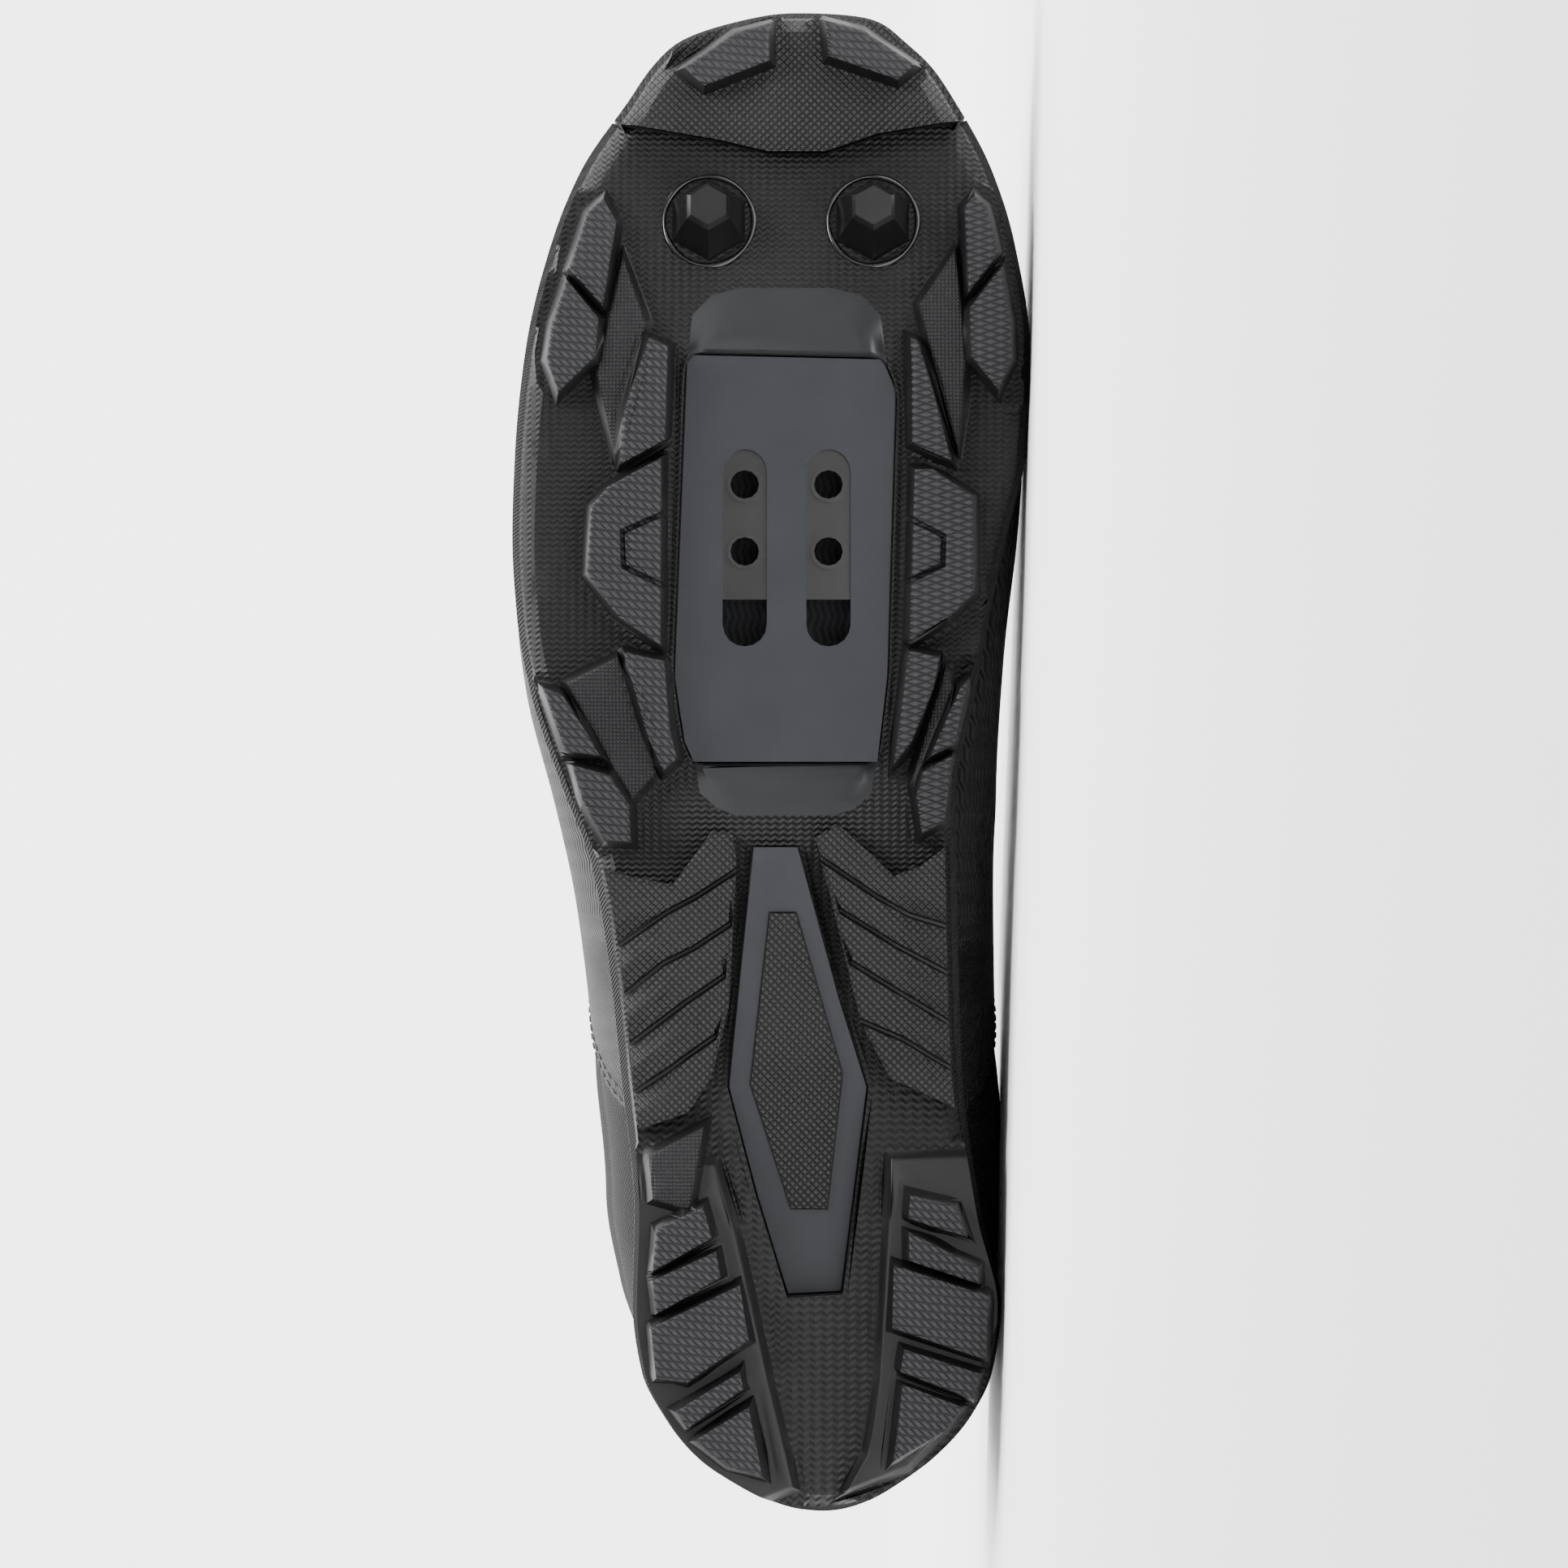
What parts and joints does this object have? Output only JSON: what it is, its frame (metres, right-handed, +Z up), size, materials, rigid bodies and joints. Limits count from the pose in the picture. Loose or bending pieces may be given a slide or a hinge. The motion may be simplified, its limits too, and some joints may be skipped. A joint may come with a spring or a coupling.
{
  "type": "cycling shoe",
  "caption": "Right off-road cycling shoe on its inner side: lugged rubber sole with pocket, two cleat slots and sliding nut plate, toe studs, hollow laced upper, tongue and insole.",
  "frame": {"origin": "middle of the footprint on the floor, the shoe lying on its inner side", "axes": "+X from heel to toe, +Y from the sole to the collar, +Z up from the floor, towards the outer side of the foot"},
  "size_m": [0.2538, 0.099, 0.0862],
  "materials": {
    "rubber": "matte",
    "plate": "satin",
    "stud": "satin",
    "steel": "satin",
    "cloth": "matte",
    "foam": "matte"
  },
  "bodies": {
    "shoe": {"outsole": "rubber", "toe_bumper": "rubber", "arch_wing_lateral": "rubber", "arch_wing_medial": "rubber", "sole_plate": "plate", "tread_badge": "rubber", "toe_stud_lateral": "stud", "toe_stud_medial": "stud", "upper": "cloth", "tongue": "cloth", "insole": "foam", "lace": "cloth"},
    "cleat_nut": {"cleat_nut": "steel"}
  },
  "joints": [
    {"name": "cleat_nut_slide", "type": "slide", "parent": "shoe", "child": "cleat_nut", "axis": [0.9996, 0, 0.0283], "range_m": [-0.0125, 0.0025]}
  ]
}
